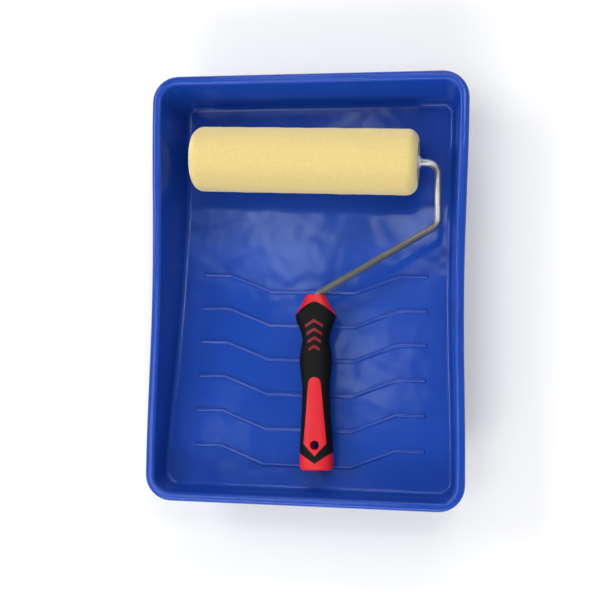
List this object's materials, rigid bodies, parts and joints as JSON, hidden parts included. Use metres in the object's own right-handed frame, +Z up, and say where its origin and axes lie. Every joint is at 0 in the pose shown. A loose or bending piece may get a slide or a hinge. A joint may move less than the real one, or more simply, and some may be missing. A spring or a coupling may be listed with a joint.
{
  "type": "paint roller tray with roller",
  "caption": "Moulded paint tray with a deep well, a ridged ramp and feet, and a wire-cage roller with a pile sleeve and a two-colour handle lying in it.",
  "frame": {"origin": "centre of the tray's footprint, on the surface that it stands on", "axes": "+X across the tray towards the side where the rod leaves the sleeve, +Y along the tray towards the deep well, +Z up"},
  "size_m": [0.305, 0.41, 0.078],
  "materials": {
    "tray_plastic": "glossy",
    "rod_steel": "bright plated",
    "washer_steel": "plain",
    "cage_steel": "drawn wire",
    "cap_plastic": "satin",
    "core_plastic": "satin",
    "pile_fabric": "short pile",
    "handle_red": "glossy",
    "grip_black": "soft matte"
  },
  "bodies": {
    "tray": {"tray": "tray_plastic"},
    "frame": {"frame_rod": "rod_steel", "inner_washer": "washer_steel", "outer_washer": "washer_steel", "push_nut": "washer_steel", "handle_core": "handle_red", "soft_grip": "grip_black"},
    "sleeve": {"inner_end_cap": "cap_plastic", "outer_end_cap": "cap_plastic", "cage_wire_1": "cage_steel", "cage_wire_2": "cage_steel", "cage_wire_3": "cage_steel", "cage_wire_4": "cage_steel", "cage_wire_5": "cage_steel", "cage_middle_ring": "cap_plastic", "core_tube": "core_plastic", "pile_cover": "pile_fabric"}
  },
  "joints": [
    {"name": "roller_lift", "type": "slide", "parent": "tray", "child": "frame", "axis": [0, 0, 1], "range_m": [-0.0004, 0.12]},
    {"name": "sleeve_spin", "type": "hinge", "parent": "frame", "child": "sleeve", "pos_m": [-0.0085, 0.1281, 0.035], "axis": [0.9997, -0.0244, 0], "continuous": true}
  ]
}
